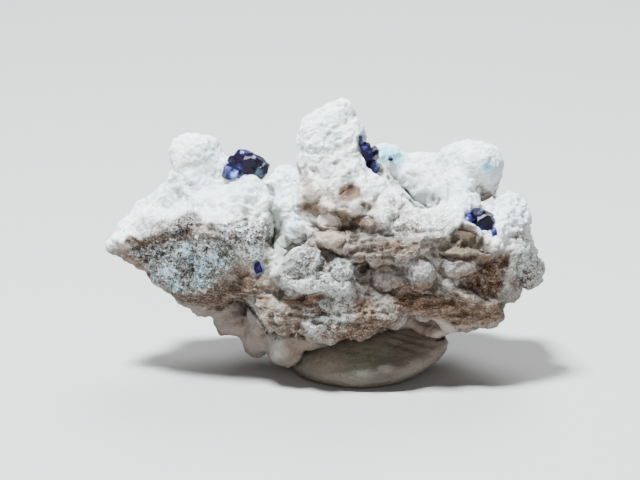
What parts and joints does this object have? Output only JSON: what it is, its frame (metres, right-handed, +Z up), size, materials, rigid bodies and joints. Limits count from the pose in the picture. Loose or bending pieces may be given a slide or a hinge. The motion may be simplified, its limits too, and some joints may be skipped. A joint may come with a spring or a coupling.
{
  "type": "henmilite specimen",
  "caption": "White, lumpy mineral matrix with small dark blue henmilite crystals, resting on a flat-footed pad of grey putty.",
  "frame": {"origin": "a point on the putty pad's flat foot, under the middle of the pad", "axes": "+Z up, +X to the right along the specimen's greatest length, -Y towards the side that the picture shows"},
  "size_m": [0.022, 0.0111, 0.0139],
  "materials": {
    "matrix": "chalky, matte",
    "putty_pad": "dull, slightly greasy",
    "henmilite_left": "vitreous",
    "henmilite_peak": "vitreous",
    "henmilite_slim": "vitreous",
    "henmilite_right": "vitreous",
    "henmilite_speck_left": "vitreous",
    "henmilite_speck_right": "vitreous",
    "henmilite_speck_saddle": "vitreous"
  },
  "bodies": {
    "root": {"matrix": "matrix", "putty_pad": "putty_pad", "henmilite_left": "henmilite_left", "henmilite_peak": "henmilite_peak", "henmilite_slim": "henmilite_slim", "henmilite_right": "henmilite_right", "henmilite_speck_left": "henmilite_speck_left", "henmilite_speck_right": "henmilite_speck_right", "henmilite_speck_saddle": "henmilite_speck_saddle"}
  },
  "joints": []
}
